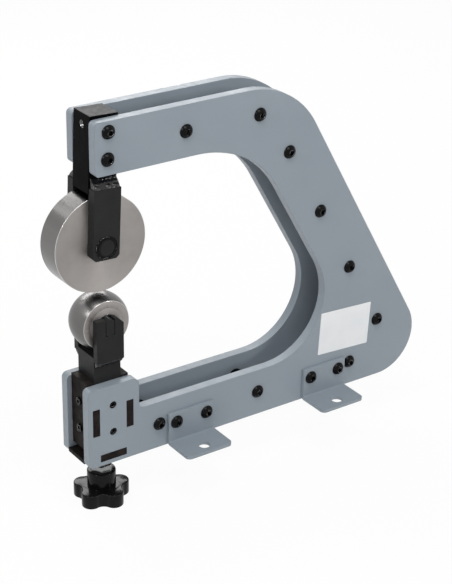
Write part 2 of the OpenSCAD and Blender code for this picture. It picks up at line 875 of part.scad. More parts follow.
module cradle_ear() {
    h0 = cradle_foot - anvil_z;
    color(satin_black) at_anvil() along_y(-cradle_out, -cradle_in) difference() {
        polygon([
            [-post_w / 2, h0], [post_w / 2, h0], [post_w / 2, cradle_rise - cradle_chamfer],
            [post_w / 2 - cradle_chamfer, cradle_rise], [-post_w / 2, cradle_rise]]);
        translate([-axle_flat / 2 - slot_gap, slot_foot - anvil_z])
            square([axle_flat + 2 * slot_gap, axle_d + cradle_rise]);
    }
}

module cradle_ear_near() {
    cradle_ear();
}

module cradle_ear_far() {
    far() cradle_ear();
}

module cradle_welds() {
    color(satin_black) translate([axis_x, 0, 0]) both_sides()
        weld_fillet(post_w - 2 * weld_end, cradle_weld, -cradle_in, cradle_foot, -1);
}

module anvil_axle() {
    color(satin_black) at_anvil() {
        rod_y(axle_d / 2, -cradle_in + snug, cradle_in - snug);
        intersection() {
            rod_y(axle_d / 2, -cradle_out, cradle_out);
            translate([-axle_flat / 2, -cradle_out, -axle_d]) cube([axle_flat, 2 * cradle_out, 2 * axle_d]);
        }
    }
}

module anvil_spacers() {
    color(bearing_steel) at_anvil() axle_rings(anvil_seat, cradle_in - snug);
}

module anvil_bearing_inners() {
    color(bearing_steel) at_anvil() bearing_inners(anvil_seat);
}

module anvil_bearing_outers() {
    color(bearing_steel) at_anvil() bearing_outers(anvil_seat);
}

module anvil_bearing_balls() {
    color(bearing_steel) at_anvil() bearing_balls(anvil_seat);
}

module anvil_keepers() {
    color(turned_steel) at_anvil() keepers(anvil_seat);
}

module lower_anvil() {
    color(turned_steel) at_anvil() difference() {
        rotate([90, 0, 0]) intersection() {
            sphere(d = anvil_d, $fn = crown_steps);
            cylinder(r = anvil_d, h = anvil_w, center = true);
        }
        bearing_bore(anvil_seat, anvil_w / 2);
    }
}

// The ring screwed into the foot of the post, under the thrust head
module thrust_plug() {
    color(bearing_steel) translate([axis_x, 0, post_foot]) difference() {
        cylinder(d = thrust_d + 2 * running - 2 * snug, h = thrust_depth - running);
        translate([0, 0, -past]) cylinder(d = spindle_d + 2 * running, h = thrust_depth + 2 * past);
    }
}

// Lead screw and knob

module lead_screw() {
    color(bearing_steel) translate([axis_x, 0, 0]) difference() {
        union() {
            translate([0, 0, screw_foot]) cylinder(d = spindle_d, h = thrust_top - screw_foot);
            translate([0, 0, post_foot + thrust_depth]) cylinder(d = thrust_d, h = thrust_h);
        }
        translate([0, 0, screw_foot - past])
            cylinder(d = knob_screw_d + 2 * running, h = knob_screw_l - knob_web + screw_spare + past);
    }
}

module jam_nut() {
    color(bearing_steel) translate([axis_x, 0, hub_top]) difference() {
        cylinder(r = jam_af / sqrt(3), h = jam_h, $fn = 6);
        translate([0, 0, -past]) cylinder(d = spindle_d + 2 * snug, h = jam_h + 2 * past);
    }
}

module knob_outline() {
    corners = [for (i = [0:lobe_count - 1], s = [-1, 1])
        let (lobe = lobe_centre * [cos(2 * i * half_step), sin(2 * i * half_step)])
        let (hollow = hollow_centre * [cos((2 * i + s) * half_step), sin((2 * i + s) * half_step)])
        lobe + (hollow - lobe) * (lobe_r - lobe_bite / 2) / lobe_to_hollow];
    difference() {
        union() {
            polygon(corners);
            for (i = [0:lobe_count - 1]) rotate(2 * i * half_step) translate([lobe_centre, 0]) circle(lobe_r);
        }
        for (i = [0:lobe_count - 1]) rotate((2 * i + 1) * half_step)
            translate([hollow_centre, 0]) circle(hollow_r);
    }
}

module star_knob() {
    color(gloss_black) translate([axis_x, 0, 0]) difference() {
        union() {
            translate([0, 0, knob_foot]) rotate(lobe_turn) linear_extrude(knob_h) knob_outline();
            translate([0, 0, lobe_top - past]) cylinder(d = hub_d, h = hub_h + past);
        }
        translate([0, 0, screw_foot]) cylinder(d = spindle_d + 2 * snug, h = knob_h + hub_h);
        translate([0, 0, knob_foot - past])
            cylinder(d = washer_d + 2 * washer_gap, h = knob_recess + past);
        translate([0, 0, knob_foot]) cylinder(d = knob_screw_d + 2 * running, h = knob_h);
    }
}

module knob_washer() {
    color(bearing_steel) translate([axis_x, 0, knob_foot + knob_recess - washer_t]) difference() {
        cylinder(d = washer_d, h = washer_t);
        translate([0, 0, -past]) cylinder(d = knob_screw_d + 2 * running, h = washer_t + 2 * past);
    }
}

module knob_screw() {
    color(gloss_black) translate([axis_x, 0, knob_foot + knob_recess - washer_t]) difference() {
        union() {
            translate([0, 0, -knob_screw_head_h]) cylinder(d = knob_screw_head_d, h = knob_screw_head_h);
            cylinder(d = knob_screw_d, h = knob_screw_l);
        }
        translate([0, 0, -knob_screw_head_h - past])
            cylinder(d = knob_screw_d, h = knob_screw_head_h / 2 + past, $fn = 6);
    }
}

side_plate_near();
side_plate_far();
spacer_bars();
frame_screws_near();
frame_screws_far();
foot_front_near();
foot_rear_near();
foot_front_far();
foot_rear_far();
foot_screws_near();
foot_screws_far();
head_bar();
head_shims();
fork_ear_near();
fork_ear_far();
head_welds();
wheel_axle();
axle_clips();
wheel_spacers();
wheel_bearing_inners();
upper_wheel();
wheel_bearing_outers();
wheel_bearing_balls();
wheel_keepers();
guide_wall_front();
guide_wall_rear();
guide_floor();
toe_strip();
side_adjusters_near();
side_adjusters_far();
front_adjusters();
lead_nut();
post();
cradle_ear_near();
cradle_ear_far();
cradle_welds();
anvil_axle();
anvil_spacers();
anvil_bearing_inners();
thrust_plug();
lower_anvil();
anvil_bearing_outers();
anvil_bearing_balls();
anvil_keepers();
lead_screw();
jam_nut();
star_knob();
knob_washer();
knob_screw();
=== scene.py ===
import math
import random
import bmesh
import bpy
from mathutils import Matrix, Vector, noise


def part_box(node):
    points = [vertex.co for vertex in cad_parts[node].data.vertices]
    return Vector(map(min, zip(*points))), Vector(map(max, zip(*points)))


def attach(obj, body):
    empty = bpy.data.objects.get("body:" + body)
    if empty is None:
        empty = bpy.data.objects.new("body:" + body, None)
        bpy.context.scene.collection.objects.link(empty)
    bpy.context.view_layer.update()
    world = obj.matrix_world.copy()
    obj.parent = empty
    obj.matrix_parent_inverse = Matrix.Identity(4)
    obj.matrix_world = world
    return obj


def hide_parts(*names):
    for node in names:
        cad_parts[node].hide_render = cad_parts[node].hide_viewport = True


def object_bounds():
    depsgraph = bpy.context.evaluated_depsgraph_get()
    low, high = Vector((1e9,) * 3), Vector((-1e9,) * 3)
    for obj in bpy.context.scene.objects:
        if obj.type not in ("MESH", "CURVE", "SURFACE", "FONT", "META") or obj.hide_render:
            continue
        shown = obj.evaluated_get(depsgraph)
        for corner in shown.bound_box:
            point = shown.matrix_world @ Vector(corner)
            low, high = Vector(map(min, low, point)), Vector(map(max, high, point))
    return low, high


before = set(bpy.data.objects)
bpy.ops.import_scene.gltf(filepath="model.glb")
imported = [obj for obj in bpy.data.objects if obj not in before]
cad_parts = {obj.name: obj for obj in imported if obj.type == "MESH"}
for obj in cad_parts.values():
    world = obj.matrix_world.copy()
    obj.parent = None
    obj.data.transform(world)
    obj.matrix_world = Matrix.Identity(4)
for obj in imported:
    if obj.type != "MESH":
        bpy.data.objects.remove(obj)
solids_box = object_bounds()

# The camera. It looks down on the near left corner of the machine through a
# long lens, from the place solved from the photograph's straight edges. The
# 36 mm sensor spans the long side of the picture.
camera_place = Vector((-1.3549, -1.8655, 1.3184))
camera_turn = math.radians(-35.22)
camera_tilt = math.radians(25.95)
camera_roll = math.radians(1.08)
ahead = Vector((
    -math.sin(camera_turn) * math.cos(camera_tilt),
    math.cos(camera_turn) * math.cos(camera_tilt),
    -math.sin(camera_tilt)))
level_right = Vector((math.cos(camera_turn), math.sin(camera_turn), 0))
level_up = level_right.cross(ahead)
camera_right = level_right * math.cos(camera_roll) + level_up * math.sin(camera_roll)
camera_up = level_up * math.cos(camera_roll) - level_right * math.sin(camera_roll)
camera_data = bpy.data.cameras.new("camera")
camera_data.sensor_width = 36
camera_data.lens = 102.70
camera_data.clip_start = 0.05
camera = bpy.data.objects.new("camera", camera_data)
bpy.context.scene.collection.objects.link(camera)
camera_axes = Matrix((camera_right, camera_up, -ahead)).transposed().to_4x4()
camera.matrix_world = Matrix.Translation(camera_place) @ camera_axes
bpy.context.scene.camera = camera
bpy.context.scene.view_settings.view_transform = "Standard"


# The studio. A long soft box and a faint narrow one stand behind the machine,
# one hangs above it and one stands at each side of the camera, in a plain
# white room.
def soft_box(name, place, target, width, height, power):
    lamp = bpy.data.lights.new(name, "AREA")
    lamp.shape = "RECTANGLE"
    lamp.size = width
    lamp.size_y = height
    lamp.energy = power
    stand = bpy.data.objects.new(name, lamp)
    bpy.context.scene.collection.objects.link(stand)
    aim = (Vector(target) - Vector(place)).to_track_quat("-Z", "Y").to_matrix().to_4x4()
    stand.matrix_world = Matrix.Translation(Vector(place)) @ aim


machine_middle = (-0.05, 0, 0.25)
soft_box("back_box", (0.55, 2.3, 1.55), machine_middle, width=2.3, height=0.65, power=32)
soft_box("top_box", (-0.5, -0.9, 2.3), machine_middle, width=1.1, height=0.9, power=20)
soft_box("left_box", (-2.3, -0.45, 1.8), machine_middle, width=0.35, height=0.8, power=13)
soft_box("right_box", (1.5, -2.6, 1.3), machine_middle, width=0.4, height=0.7, power=20)
soft_box("rear_box", (-1.08, 1.75, 1.65), machine_middle, width=0.3, height=0.8, power=1.6)

room = bpy.data.worlds.new("room")
bpy.context.scene.world = room
room.use_nodes = True
room_tree = room.node_tree
room_light = room_tree.nodes["Background"]
room_light.inputs["Color"].default_value = (1, 1, 1, 1)
room_light.inputs["Strength"].default_value = 0.36
seen_room = room_tree.nodes.new("ShaderNodeBackground")
seen_room.inputs["Color"].default_value = (1, 1, 1, 1)
seen_room.inputs["Strength"].default_value = 1.0


def white_to_rays(tree):
    ray_kind = tree.nodes.new("ShaderNodeLightPath")
    seen = tree.nodes.new("ShaderNodeMath")
    seen.operation = "ADD"
    tree.links.new(ray_kind.outputs["Is Camera Ray"], seen.inputs[0])
    tree.links.new(ray_kind.outputs["Is Glossy Ray"], seen.inputs[1])
    seen_through = tree.nodes.new("ShaderNodeMath")
    seen_through.operation = "ADD"
    seen_through.use_clamp = True
    tree.links.new(seen.outputs[0], seen_through.inputs[0])
    tree.links.new(ray_kind.outputs["Is Transmission Ray"], seen_through.inputs[1])
    return seen_through.outputs[0]


room_mix = room_tree.nodes.new("ShaderNodeMixShader")
room_tree.links.new(white_to_rays(room_tree), room_mix.inputs["Fac"])
room_tree.links.new(room_light.outputs["Background"], room_mix.inputs[1])
room_tree.links.new(seen_room.outputs["Background"], room_mix.inputs[2])
room_tree.links.new(room_mix.outputs["Shader"], room_tree.nodes["World Output"].inputs["Surface"])

# The floor. A plain white sweep that the knob just clears. It takes a faint
# shadow of the machine and otherwise shows as white as the room.
floor_half = 12
floor_gap = 0.0005
floor_shape = bmesh.new()
bmesh.ops.create_grid(floor_shape, x_segments=1, y_segments=1, size=floor_half)
bmesh.ops.translate(floor_shape, vec=(0, 0, solids_box[0][2] - floor_gap), verts=floor_shape.verts)
floor_mesh = bpy.data.meshes.new("studio_floor")
floor_shape.to_mesh(floor_mesh)
floor_shape.free()
studio_floor = bpy.data.objects.new("studio_floor", floor_mesh)
bpy.context.scene.collection.objects.link(studio_floor)
white_sweep = bpy.data.materials.new("white_sweep")
white_sweep.use_nodes = True
sweep_tree = white_sweep.node_tree
sweep_tree.nodes["Principled BSDF"].inputs["Base Color"].default_value = (0.9, 0.9, 0.9, 1)
sweep_tree.nodes["Principled BSDF"].inputs["Roughness"].default_value = 1
sweep_tree.nodes["Principled BSDF"].inputs["Specular IOR Level"].default_value = 0
sweep_glow = sweep_tree.nodes.new("ShaderNodeEmission")
sweep_share = sweep_tree.nodes.new("ShaderNodeMath")
sweep_share.operation = "MULTIPLY"
sweep_share.inputs[1].default_value = 0.94
sweep_mix = sweep_tree.nodes.new("ShaderNodeMixShader")
sweep_tree.links.new(white_to_rays(sweep_tree), sweep_share.inputs[0])
sweep_tree.links.new(sweep_share.outputs[0], sweep_mix.inputs["Fac"])
sweep_tree.links.new(sweep_tree.nodes["Principled BSDF"].outputs["BSDF"], sweep_mix.inputs[1])
sweep_tree.links.new(sweep_glow.outputs["Emission"], sweep_mix.inputs[2])
sweep_tree.links.new(sweep_mix.outputs["Shader"], sweep_tree.nodes["Material Output"].inputs["Surface"])
floor_mesh.materials.append(white_sweep)


# The side plates and feet. Laser-cut and bent steel, powder coated in a slate
# grey: a satin skin with a slight orange peel and the edges softly rounded.
def start_finish(name, metallic, roughness, shine=0.5):
    material = bpy.data.materials.new(name)
    material.use_nodes = True
    tree = material.node_tree
    shader = tree.nodes["Principled BSDF"]
    shader.inputs["Metallic"].default_value = metallic
    shader.inputs["Roughness"].default_value = roughness
    shader.inputs["Specular IOR Level"].default_value = shine
    where = tree.nodes.new("ShaderNodeTexCoord").outputs["Object"]
    return material, tree, shader, where


def cloud(tree, where, scale, detail=3.0):
    pattern = tree.nodes.new("ShaderNodeTexNoise")
    pattern.inputs["Scale"].default_value = scale
    pattern.inputs["Detail"].default_value = detail
    tree.links.new(where, pattern.inputs["Vector"])
    return pattern.outputs["Fac"]


def tint(tree, pattern, socket, dark, light):
    ramp = tree.nodes.new("ShaderNodeValToRGB")
    ramp.color_ramp.elements[0].position = 0.3
    ramp.color_ramp.elements[0].color = (*dark, 1)
    ramp.color_ramp.elements[1].position = 0.7
    ramp.color_ramp.elements[1].color = (*light, 1)
    tree.links.new(pattern, ramp.inputs["Fac"])
    tree.links.new(ramp.outputs["Color"], socket)


def spread(tree, pattern, socket, low, high):
    spread_over = tree.nodes.new("ShaderNodeMapRange")
    spread_over.inputs["From Min"].default_value = 0.3
    spread_over.inputs["From Max"].default_value = 0.7
    spread_over.inputs["To Min"].default_value = low
    spread_over.inputs["To Max"].default_value = high
    tree.links.new(pattern, spread_over.inputs["Value"])
    tree.links.new(spread_over.outputs["Result"], socket)


def relief(tree, shader, edge_radius, layers):
    rounded = tree.nodes.new("ShaderNodeBevel")
    rounded.samples = 4
    rounded.inputs["Radius"].default_value = edge_radius
    surface = rounded.outputs["Normal"]
    for pattern, depth in layers:
        bump = tree.nodes.new("ShaderNodeBump")
        bump.inputs["Distance"].default_value = depth
        tree.links.new(pattern, bump.inputs["Height"])
        tree.links.new(surface, bump.inputs["Normal"])
        surface = bump.outputs["Normal"]
    tree.links.new(surface, shader.inputs["Normal"])


def dress(material, *names):
    for name in names:
        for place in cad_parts[name].material_slots:
            place.material = material


powder_coat, coat_tree, coat_shader, coat_where = start_finish(
    "powder_coat", metallic=0.0, roughness=0.42, shine=0.35)
tint(coat_tree, cloud(coat_tree, coat_where, scale=9, detail=5), coat_shader.inputs["Base Color"],
     dark=(0.266, 0.308, 0.348), light=(0.284, 0.326, 0.366))
spread(coat_tree, cloud(coat_tree, coat_where, scale=60), coat_shader.inputs["Roughness"],
       low=0.38, high=0.48)
relief(coat_tree, coat_shader, edge_radius=0.0014, layers=[
    (cloud(coat_tree, coat_where, scale=420, detail=2), 0.00006),
    (cloud(coat_tree, coat_where, scale=1500, detail=2), 0.00002)])
dress(powder_coat, "side_plate_near", "side_plate_far", "foot_front_near", "foot_rear_near",
      "foot_front_far", "foot_rear_far")


# The rating plate. A blank white vinyl label with a thin grey line near its
# edge, stuck slightly askew on the near side plate above the rear foot.
def show(shape, name, body, slot, *materials):
    mesh = bpy.data.meshes.new(name)
    shape.to_mesh(mesh)
    shape.free()
    for material in materials:
        mesh.materials.append(material)
    piece = bpy.data.objects.new(name, mesh)
    bpy.context.scene.collection.objects.link(piece)
    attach(piece, body)
    return piece


white_vinyl, vinyl_tree, vinyl_shader, vinyl_where = start_finish(
    "white_vinyl", metallic=0.0, roughness=0.35)
tint(vinyl_tree, cloud(vinyl_tree, vinyl_where, scale=25), vinyl_shader.inputs["Base Color"],
     dark=(0.80, 0.82, 0.84), light=(0.86, 0.87, 0.88))
relief(vinyl_tree, vinyl_shader, edge_radius=0.0001, layers=[
    (cloud(vinyl_tree, vinyl_where, scale=900, detail=2), 0.00001)])
printed_line, line_tree, line_shader, line_where = start_finish(
    "printed_line", metallic=0.0, roughness=0.4)
tint(line_tree, cloud(line_tree, line_where, scale=40), line_shader.inputs["Base Color"],
     dark=(0.20, 0.21, 0.22), light=(0.26, 0.27, 0.28))

label_width = 0.1005
label_height = 0.0728
label_thickness = 0.00015
label_corner = 0.0015
line_inset = 0.0022
line_width = 0.0004
label_middle = Vector((0.1683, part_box("side_plate_near")[0][1], 0.1037))
label_turn = math.radians(3.0)
label = bmesh.new()
bmesh.ops.create_grid(label, x_segments=1, y_segments=1, size=0.5)
bmesh.ops.scale(label, vec=(label_width, label_height, 1), verts=label.verts)
bmesh.ops.bevel(label, geom=label.verts[:], offset=label_corner, affect="VERTICES", segments=4,
                profile=0.5, material=-1)
bmesh.ops.inset_region(label, faces=label.faces[:], thickness=line_inset)
label_field = max(label.faces, key=lambda f: f.calc_area())
line_faces = bmesh.ops.inset_region(label, faces=[label_field], thickness=line_width)["faces"]
for face in line_faces:
    face.material_index = 1
label_skin = bmesh.ops.extrude_face_region(label, geom=label.faces[:])
bmesh.ops.translate(label, vec=(0, 0, label_thickness),
                    verts=[v for v in label_skin["geom"] if isinstance(v, bmesh.types.BMVert)])
bmesh.ops.recalc_face_normals(label, faces=label.faces[:])
label_place = (Matrix.Translation(label_middle) @ Matrix.Rotation(label_turn, 4, "Y")
               @ Matrix.Rotation(math.pi / 2, 4, "X"))
bmesh.ops.transform(label, verts=label.verts, matrix=label_place)
show(label, "rating_label", "frame", "powder_grey", white_vinyl, printed_line)


# The screws, shims and clips. M12 button heads that hold the side plates and
# the feet, and set screws in the guide box, in a deep black oxide with bright
# bare steel in places along their edges and sockets: partly wear, partly
# painted glints.
def rise_between(tree, value, start, end):
    rise = tree.nodes.new("ShaderNodeMapRange")
    rise.inputs["From Min"].default_value = start
    rise.inputs["From Max"].default_value = end
    tree.links.new(value, rise.inputs["Value"])
    return rise.outputs["Result"]


def tone_between(tree, share, first, second):
    tone = tree.nodes.new("ShaderNodeMix")
    tone.data_type = "RGBA"
    tone.inputs["A"].default_value = (*first, 1)
    tone.inputs["B"].default_value = (*second, 1)
    tree.links.new(share, tone.inputs["Factor"])
    return tone.outputs["Result"]


black_oxide, oxide_tree, oxide_shader, oxide_where = start_finish(
    "black_oxide", metallic=0.0, roughness=0.12, shine=0.10)
oxide_edge = oxide_tree.nodes.new("ShaderNodeBevel")
oxide_edge.samples = 8
oxide_edge.inputs["Radius"].default_value = 0.0008
oxide_face = oxide_tree.nodes.new("ShaderNodeNewGeometry")
oxide_turn = oxide_tree.nodes.new("ShaderNodeVectorMath")
oxide_turn.operation = "DOT_PRODUCT"
oxide_tree.links.new(oxide_edge.outputs["Normal"], oxide_turn.inputs[0])
oxide_tree.links.new(oxide_face.outputs["True Normal"], oxide_turn.inputs[1])
oxide_near = rise_between(oxide_tree, oxide_turn.outputs["Value"], start=0.97, end=0.82)
oxide_patch = rise_between(oxide_tree, cloud(oxide_tree, oxide_where, scale=210, detail=2),
                           start=0.48, end=0.60)
# Bright bare steel along edges and sockets, in patches: partly wear, partly painted glints.
oxide_wear_and_glint = oxide_tree.nodes.new("ShaderNodeMath")
oxide_wear_and_glint.operation = "MULTIPLY"
oxide_tree.links.new(oxide_near, oxide_wear_and_glint.inputs[0])
oxide_tree.links.new(oxide_patch, oxide_wear_and_glint.inputs[1])
oxide_tone = tone_between(oxide_tree, oxide_wear_and_glint.outputs[0], (0.0028, 0.0028, 0.0032), (0.62, 0.61, 0.60))
oxide_tree.links.new(oxide_tone, oxide_shader.inputs["Base Color"])
oxide_tree.links.new(oxide_wear_and_glint.outputs[0], oxide_shader.inputs["Metallic"])
spread(oxide_tree, cloud(oxide_tree, oxide_where, scale=900), oxide_shader.inputs["Roughness"],
       low=0.10, high=0.18)
relief(oxide_tree, oxide_shader, edge_radius=0.0004, layers=[
    (cloud(oxide_tree, oxide_where, scale=1400, detail=2), 0.00002)])
dress(black_oxide, "frame_screws_near", "frame_screws_far", "foot_screws_near", "foot_screws_far",
      "side_adjusters_near", "side_adjusters_far", "front_adjusters", "knob_screw", "head_shims",
      "axle_clips")

# The spacer bars and the head bar. Square and round steel bar sprayed in a
# gloss black that has run a little, so its reflections wave.
gloss_paint, gloss_tree, gloss_shader, gloss_where = start_finish(
    "gloss_paint", metallic=0.0, roughness=0.14, shine=0.014)
tint(gloss_tree, cloud(gloss_tree, gloss_where, scale=40, detail=4), gloss_shader.inputs["Base Color"],
     dark=(0.001, 0.001, 0.0013), light=(0.006, 0.006, 0.0066))
spread(gloss_tree, cloud(gloss_tree, gloss_where, scale=120), gloss_shader.inputs["Roughness"],
       low=0.12, high=0.24)
relief(gloss_tree, gloss_shader, edge_radius=0.0008, layers=[
    (cloud(gloss_tree, gloss_where, scale=34, detail=2), 0.0006),
    (cloud(gloss_tree, gloss_where, scale=500, detail=2), 0.00002)])
dress(gloss_paint, "spacer_bars", "head_bar")

# The fork ears, axles, post and cradle. Flat, round and square steel in a
# satin black that shows a fine grain.
satin_paint, satin_tree, satin_shader, satin_where = start_finish(
    "satin_paint", metallic=0.0, roughness=0.4, shine=0.1)
tint(satin_tree, cloud(satin_tree, satin_where, scale=30, detail=5), satin_shader.inputs["Base Color"],
     dark=(0.017, 0.017, 0.0172), light=(0.023, 0.023, 0.0232))
spread(satin_tree, cloud(satin_tree, satin_where, scale=160), satin_shader.inputs["Roughness"],
       low=0.34, high=0.46)
relief(satin_tree, satin_shader, edge_radius=0.0007, layers=[
    (cloud(satin_tree, satin_where, scale=260, detail=4), 0.00008),
    (cloud(satin_tree, satin_where, scale=1200, detail=2), 0.00002)])
dress(satin_paint, "fork_ear_near", "fork_ear_far", "wheel_axle", "post", "cradle_ear_near",
      "cradle_ear_far", "anvil_axle")


# The welds of the fork and the cradle. Heavy hand-laid fillets: each is a
# stack of overlapping pools melted into one bead, under a thick gloss black.
weld_paint, weld_tree, weld_shader, weld_where = start_finish(
    "weld_paint", metallic=0.0, roughness=0.12, shine=0.45)
tint(weld_tree, cloud(weld_tree, weld_where, scale=180, detail=4), weld_shader.inputs["Base Color"],
     dark=(0.003, 0.003, 0.0035), light=(0.009, 0.009, 0.010))
spread(weld_tree, cloud(weld_tree, weld_where, scale=400), weld_shader.inputs["Roughness"],
       low=0.06, high=0.18)
relief(weld_tree, weld_shader, edge_radius=0.0003, layers=[
    (cloud(weld_tree, weld_where, scale=700, detail=3), 0.00012)])


merge_distance = 0.000001


def merged_copy(node):
    shape = bmesh.new()
    shape.from_mesh(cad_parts[node].data)
    bmesh.ops.remove_doubles(shape, verts=shape.verts, dist=merge_distance)
    return shape


melt_size = 0.0007
ripple_scale = 420
ripple_depth = 0.00035


def weld_bead(node, body, rows, pool, seed):
    dice = random.Random(seed)
    low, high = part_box(node)
    leg = high[2] - low[2]
    rising = node == "head_welds"
    bead = merged_copy(node)
    for side in (-1, 1):
        inner = min(abs(v.co.y) for v in bead.verts if v.co.y * side > 0)
        for row in range(rows):
            along = (row + 0.6) / (rows + 0.2)
            out = inner + leg * (1 - along) * 0.86 - pool * 0.4
            climb = leg * along * 0.86 - pool * 0.2
            rise = low[2] + climb if rising else high[2] - climb
            across = low[0] + pool * 0.9
            while across < high[0] - pool * 0.8:
                middle = Vector((across + dice.uniform(-0.3, 0.3) * pool,
                                 side * (out + dice.uniform(-0.12, 0.1) * pool),
                                 rise + dice.uniform(-0.15, 0.15) * pool))
                pool_place = Matrix.Translation(middle) @ Matrix.Diagonal((0.8, 1.0, 1.1, 1))
                bmesh.ops.create_icosphere(bead, subdivisions=2, radius=pool * dice.uniform(0.85, 1.1),
                                           matrix=pool_place)
                across += pool * dice.uniform(0.62, 0.8)
    mesh = bpy.data.meshes.new(node + "_pools")
    bead.to_mesh(mesh)
    bead.free()
    rough = bpy.data.objects.new(node + "_pools", mesh)
    bpy.context.scene.collection.objects.link(rough)
    melt = rough.modifiers.new("melt", "REMESH")
    melt.mode = "VOXEL"
    melt.voxel_size = melt_size
    melted = bpy.data.meshes.new_from_object(rough.evaluated_get(bpy.context.evaluated_depsgraph_get()))
    bpy.data.objects.remove(rough)
    bead = bmesh.new()
    bead.from_mesh(melted)
    bpy.data.meshes.remove(melted)
    bmesh.ops.smooth_vert(bead, verts=bead.verts, factor=0.5, use_axis_x=True, use_axis_y=True,
                          use_axis_z=True)
    for vert in bead.verts:
        vert.co += vert.normal * ripple_depth * noise.noise(vert.co * ripple_scale)
    for face in bead.faces:
        face.smooth = True
    piece = show(bead, node + "_beads", body, "gloss_black", weld_paint)
    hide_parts(node)


weld_bead("head_welds", "frame", rows=3, pool=0.0040, seed=5)
weld_bead("cradle_welds", "cradle", rows=2, pool=0.0036, seed=8)


# The upper wheel and the anvil. Turned from solid steel: fine rings on their
# sides, a small round on each rim in a brighter steel that is partly burnished
# and partly a painted highlight, and a tread ground smooth all round whose
# darker tone is a painted dark reflection.
same_place = 0.0001
polish_edge = 0.0005


def axle_line(low, high):
    return Vector(((low[0] + high[0]) / 2, 0, (low[2] + high[2]) / 2))


def turned_finish(name, axle, tread_start, tread_roughness):
    material, tree, shader, where = start_finish(name, metallic=1.0, roughness=0.3)
    shader.inputs["Anisotropic"].default_value = 0.7
    shader.inputs["Anisotropic Rotation"].default_value = 0.25
    centred = tree.nodes.new("ShaderNodeMapping")
    centred.inputs["Location"].default_value = -axle
    centred.inputs["Scale"].default_value = (1, 0, 1)
    tree.links.new(where, centred.inputs["Vector"])
    around = tree.nodes.new("ShaderNodeVectorMath")
    around.operation = "CROSS_PRODUCT"
    around.inputs[1].default_value = (0, 1, 0)
    tree.links.new(centred.outputs["Vector"], around.inputs[0])
    grain = tree.nodes.new("ShaderNodeVectorTransform")
    grain.vector_type = "VECTOR"
    grain.convert_from = "OBJECT"
    grain.convert_to = "WORLD"
    tree.links.new(around.outputs["Vector"], grain.inputs["Vector"])
    tree.links.new(grain.outputs["Vector"], shader.inputs["Tangent"])
    radius = tree.nodes.new("ShaderNodeVectorMath")
    radius.operation = "LENGTH"
    tree.links.new(centred.outputs["Vector"], radius.inputs[0])
    split = tree.nodes.new("ShaderNodeSeparateXYZ")
    tree.links.new(where, split.inputs["Vector"])
    reach = tree.nodes.new("ShaderNodeMath")
    tree.links.new(radius.outputs["Value"], reach.inputs[0])
    tree.links.new(split.outputs["Y"], reach.inputs[1])
    rings = tree.nodes.new("ShaderNodeTexNoise")
    rings.noise_dimensions = "1D"
    rings.inputs["Scale"].default_value = 2600
    rings.inputs["Detail"].default_value = 3
    tree.links.new(reach.outputs[0], rings.inputs["W"])
    on_tread = rise_between(tree, radius.outputs["Value"], start=tread_start, end=tread_start + polish_edge)
    roughness = tree.nodes.new("ShaderNodeMix")
    tree.links.new(on_tread, roughness.inputs["Factor"])
    spread(tree, cloud(tree, where, scale=45, detail=5), roughness.inputs["A"], low=0.40, high=0.50)
    roughness.inputs["B"].default_value = tread_roughness
    tree.links.new(roughness.outputs["Result"], shader.inputs["Roughness"])
    side_tone = tone_between(tree, cloud(tree, where, scale=26, detail=5),
                             (0.290, 0.268, 0.256), (0.390, 0.370, 0.354))
    # The tread's steel is toned darker than the sides, a painted dark reflection, with a random grain of
    # chatter in it.
    tread_tone_painted_dark = tone_between(tree, cloud(tree, centred.outputs["Vector"], scale=40, detail=3),
                              (0.130, 0.127, 0.125), (0.200, 0.195, 0.193))
    tone = tree.nodes.new("ShaderNodeMix")
    tone.data_type = "RGBA"
    tree.links.new(on_tread, tone.inputs["Factor"])
    tree.links.new(side_tone, tone.inputs["A"])
    tree.links.new(tread_tone_painted_dark, tone.inputs["B"])
    tree.links.new(tone.outputs["Result"], shader.inputs["Base Color"])
    relief(tree, shader, edge_radius=0.0002, layers=[
        (rings.outputs["Fac"], 0.00002),
        (cloud(tree, where, scale=700, detail=3), 0.000003)])
    return material


def keep_sides_flat(piece):
    piece.data.set_sharp_from_angle(angle=math.radians(60))
    piece.modifiers.new("flat_sides", "WEIGHTED_NORMAL").keep_sharp = True


# The rim's brighter steel: partly a burnished edge, partly a painted highlight line.
rim_steel_with_painted_highlight, rim_tree, rim_shader, rim_where = start_finish(
    "rim_steel_with_painted_highlight", metallic=1.0, roughness=0.16)
tint(rim_tree, cloud(rim_tree, rim_where, scale=120), rim_shader.inputs["Base Color"],
     dark=(0.46, 0.45, 0.44), light=(0.58, 0.57, 0.56))
spread(rim_tree, cloud(rim_tree, rim_where, scale=300), rim_shader.inputs["Roughness"],
       low=0.12, high=0.24)

wheel_low, wheel_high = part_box("upper_wheel")
wheel_axle = axle_line(wheel_low, wheel_high)
wheel_radius = (wheel_high[0] - wheel_low[0]) / 2
wheel_round = 0.0008
round_swell = wheel_round * math.sin(math.pi / 4)
wheel_steel = turned_finish("wheel_steel", wheel_axle, wheel_radius - wheel_round, tread_roughness=0.22)
dress(wheel_steel, "wheel_keepers")
wheel = merged_copy("upper_wheel")
for vert in wheel.verts:
    spoke = Vector((vert.co.x - wheel_axle.x, 0, vert.co.z - wheel_axle.z))
    inside = wheel_high[1] - abs(vert.co.y)
    if (abs(spoke.length - wheel_radius + wheel_round) < same_place
            and abs(inside - wheel_round) < same_place):
        vert.co += spoke.normalized() * round_swell
        vert.co.y += math.copysign(round_swell, vert.co.y)
        for face in vert.link_faces:
            face.material_index = 1
for face in wheel.faces:
    face.smooth = True
turned_wheel = show(wheel, "turned_wheel", "upper_wheel", "turned_steel", wheel_steel, rim_steel_with_painted_highlight)
keep_sides_flat(turned_wheel)
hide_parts("upper_wheel")

